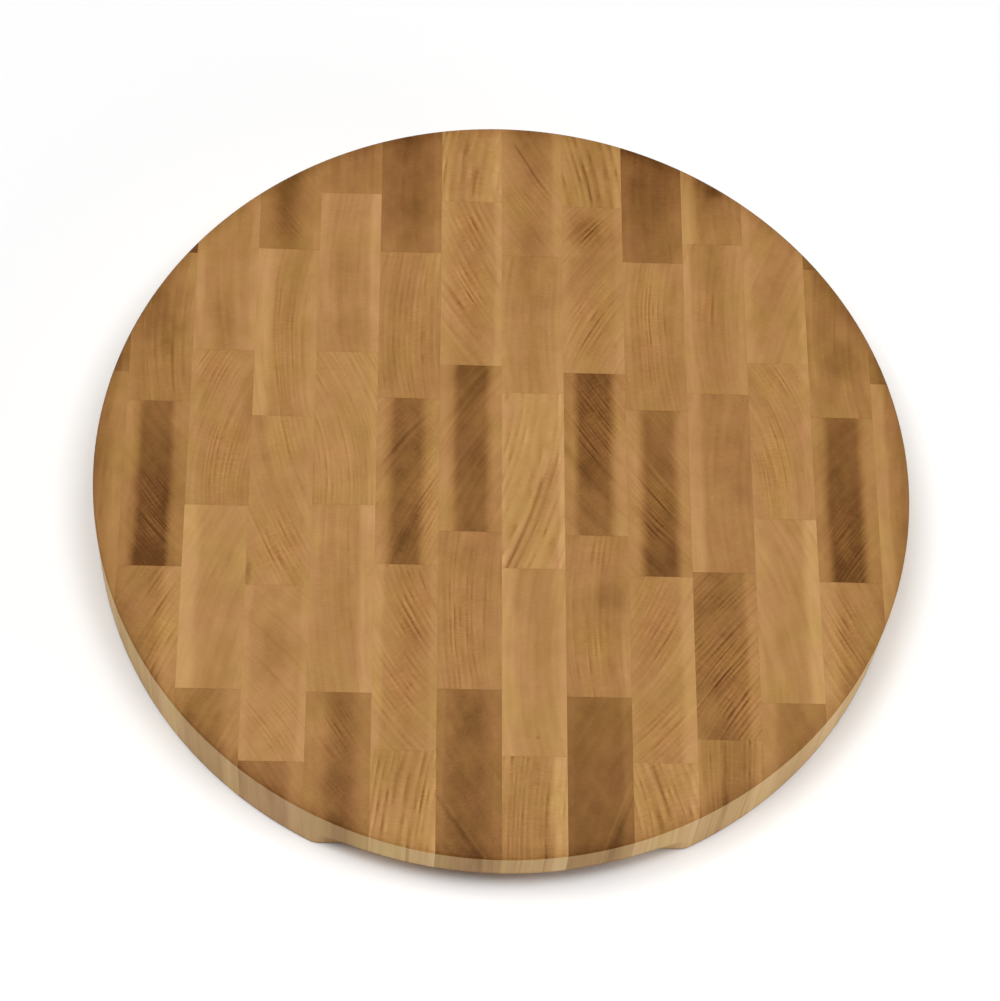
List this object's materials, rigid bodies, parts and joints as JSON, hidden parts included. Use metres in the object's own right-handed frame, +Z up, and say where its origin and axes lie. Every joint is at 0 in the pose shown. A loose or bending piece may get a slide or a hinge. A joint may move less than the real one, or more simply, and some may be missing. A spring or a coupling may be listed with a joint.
{
  "type": "round chopping block",
  "caption": "Round end-grain chopping block glued up from staggered upright wood blocks, with eased edges and finger recesses under the front and back edges.",
  "frame": {"origin": "middle of the underside, on the surface that the block lies on", "axes": "+Z up through the thickness, +Y to the back along the strips, +X to the right across the strips"},
  "size_m": [0.4, 0.4, 0.04],
  "materials": {
    "pale_wood": "oiled end grain, satin, pale honey",
    "tan_wood": "oiled end grain, satin, tan",
    "rose_wood": "oiled end grain, satin, rosy tan",
    "streaked_wood": "oiled end grain, satin, with a dark heart streak",
    "brown_wood": "oiled end grain, satin, brown"
  },
  "bodies": {
    "root": {"left_1_block_1": "tan_wood", "left_1_block_2": "tan_wood", "left_1_block_3": "streaked_wood", "left_1_block_4": "rose_wood", "left_1_block_5": "brown_wood", "left_2_block_1": "brown_wood", "left_2_block_2": "rose_wood", "left_2_block_3": "streaked_wood", "left_2_block_4": "tan_wood", "left_2_block_5": "tan_wood", "left_3_block_1": "brown_wood", "left_3_block_2": "rose_wood", "left_3_block_3": "tan_wood", "left_3_block_4": "pale_wood", "left_3_block_5": "streaked_wood", "left_4_block_1": "streaked_wood", "left_4_block_2": "rose_wood", "left_4_block_3": "rose_wood", "left_4_block_4": "rose_wood", "left_4_block_5": "brown_wood", "left_5_block_1": "rose_wood", "left_5_block_2": "tan_wood", "left_5_block_3": "pale_wood", "left_5_block_4": "brown_wood", "left_6_block_1": "brown_wood", "left_6_block_2": "tan_wood", "left_6_block_3": "streaked_wood", "left_6_block_4": "tan_wood", "left_7_block_1": "brown_wood", "left_7_block_2": "pale_wood", "right_1_block_1": "rose_wood", "right_1_block_2": "tan_wood", "right_1_block_3": "pale_wood", "right_1_block_4": "pale_wood", "right_1_block_5": "tan_wood", "right_2_block_1": "tan_wood", "right_2_block_2": "tan_wood", "right_2_block_3": "streaked_wood", "right_2_block_4": "rose_wood", "right_2_block_5": "brown_wood", "right_3_block_1": "brown_wood", "right_3_block_2": "tan_wood", "right_3_block_3": "streaked_wood", "right_3_block_4": "tan_wood", "right_3_block_5": "tan_wood", "right_4_block_1": "tan_wood", "right_4_block_2": "rose_wood", "right_4_block_3": "rose_wood", "right_4_block_4": "brown_wood", "right_4_block_5": "brown_wood", "right_5_block_1": "rose_wood", "right_5_block_2": "tan_wood", "right_5_block_3": "pale_wood", "right_5_block_4": "brown_wood", "right_6_block_1": "brown_wood", "right_6_block_2": "tan_wood", "right_6_block_3": "streaked_wood", "right_6_block_4": "tan_wood", "right_7_block_1": "brown_wood", "right_7_block_2": "pale_wood"}
  },
  "joints": []
}
